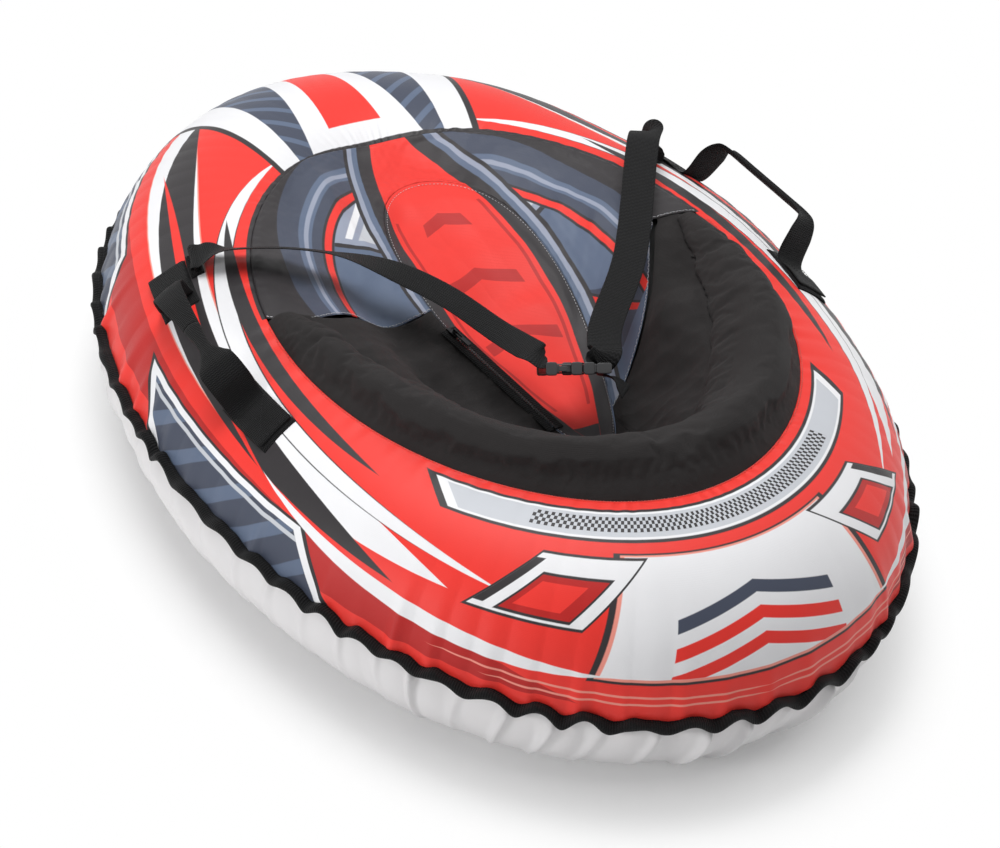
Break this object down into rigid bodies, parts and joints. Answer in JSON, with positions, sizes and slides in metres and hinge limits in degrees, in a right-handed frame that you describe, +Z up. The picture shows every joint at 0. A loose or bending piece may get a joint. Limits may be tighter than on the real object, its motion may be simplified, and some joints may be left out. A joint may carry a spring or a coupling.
{
  "type": "snow tube",
  "caption": "Child's oval snow tube: inflated ring in a printed sewn cover with a slick base, sunken seat, padded backrest, lap belt with buckle and webbing handles.",
  "frame": {"origin": "on the ground, at the middle of the flat underside", "axes": "+Y towards the front of the sledge, +X to its right, +Z up"},
  "size_m": [0.8436, 1.1912, 0.3197],
  "materials": {
    "print_fabric": "satin",
    "base_pvc": "satin",
    "black_fabric": "matte",
    "binding_tape": "matte",
    "webbing": "matte",
    "foam": "matte",
    "rubber": "matte",
    "black_plastic": "satin",
    "brass": "satin",
    "slider_metal": "gloss"
  },
  "bodies": {
    "tube": {"backrest_cover": "black_fabric", "backrest_foam": "foam", "belt_anchor_left": "webbing", "belt_anchor_right": "webbing", "belt_left": "webbing", "belt_right": "webbing", "bottom_cover": "base_pvc", "buckle_housing": "black_plastic", "cockpit_surround": "print_fabric", "edge_binding": "binding_tape", "gusset_back": "black_fabric", "gusset_left": "black_fabric", "gusset_right": "black_fabric", "handle_patch_left_front": "webbing", "handle_patch_left_rear": "webbing", "handle_patch_right_front": "webbing", "handle_patch_right_rear": "webbing", "inner_tube": "rubber", "seat_panel": "print_fabric", "top_cover": "print_fabric", "tow_patch": "webbing", "valve_base": "rubber", "valve_stem": "brass", "zip_coil": "black_plastic", "zip_stop_front": "slider_metal", "zip_stop_rear": "slider_metal", "zip_tape_left": "binding_tape", "zip_tape_right": "binding_tape"},
    "insert": {"buckle_insert": "black_plastic", "belt_tail": "webbing"},
    "prong_left": {"buckle_prong_left": "black_plastic"},
    "prong_right": {"buckle_prong_right": "black_plastic"},
    "zip_slider": {"zip_slider": "slider_metal"},
    "zip_pull": {"zip_pull": "slider_metal"},
    "handle_left": {"handle_left": "webbing"},
    "handle_right": {"handle_right": "webbing"},
    "valve_cap": {"valve_cap": "black_plastic"},
    "tow_loop": {"tow_loop": "webbing"}
  },
  "joints": [
    {"name": "buckle_release", "type": "slide", "parent": "tube", "child": "insert", "axis": [0.9326, -0.361, 0], "range_m": [0, 0.03], "deforming": ["belt_right", "buckle_prong_left", "buckle_prong_right"]},
    {"name": "prong_left_squeeze", "type": "hinge", "parent": "insert", "child": "prong_left", "pos_m": [0.01737, -0.12369, 0.24123], "axis": [0.2184, 0.5642, 0.7962], "range_deg": [0, 8], "stiffness_Nm_per_rad": 1.5},
    {"name": "prong_right_squeeze", "type": "hinge", "parent": "insert", "child": "prong_right", "pos_m": [0.00576, -0.15369, 0.26568], "axis": [0.2184, 0.5642, 0.7962], "range_deg": [-8, 0], "stiffness_Nm_per_rad": 1.5},
    {"name": "zip_slide", "type": "slide", "parent": "tube", "child": "zip_slider", "axis": [0.2582, -0.9481, -0.1853], "range_m": [0, 0.1577]},
    {"name": "zip_pull_swing", "type": "hinge", "parent": "zip_slider", "child": "zip_pull", "pos_m": [-0.05507, 0.01133, 0.21924], "axis": [-0.9497, -0.2843, 0.1315], "range_deg": [0, 150]},
    {"name": "handle_left_swing", "type": "hinge", "parent": "tube", "child": "handle_left", "pos_m": [-0.34444, 0.04443, 0.25534], "axis": [-0.06, -0.9982, 0], "range_deg": [-15, 35], "stiffness_Nm_per_rad": 0.1},
    {"name": "handle_right_swing", "type": "hinge", "parent": "tube", "child": "handle_right", "pos_m": [0.34444, 0.04443, 0.25534], "axis": [-0.06, 0.9982, 0], "range_deg": [-15, 35], "stiffness_Nm_per_rad": 0.1},
    {"name": "valve_cap_turn", "type": "hinge", "parent": "tube", "child": "valve_cap", "pos_m": [-0.0745, 0, 0.129], "axis": [1, 0, 0], "continuous": true},
    {"name": "tow_loop_swing", "type": "hinge", "parent": "tube", "child": "tow_loop", "pos_m": [0, 0.56882, 0.09126], "axis": [1, 0, 0], "range_deg": [-35, 20]}
  ]
}
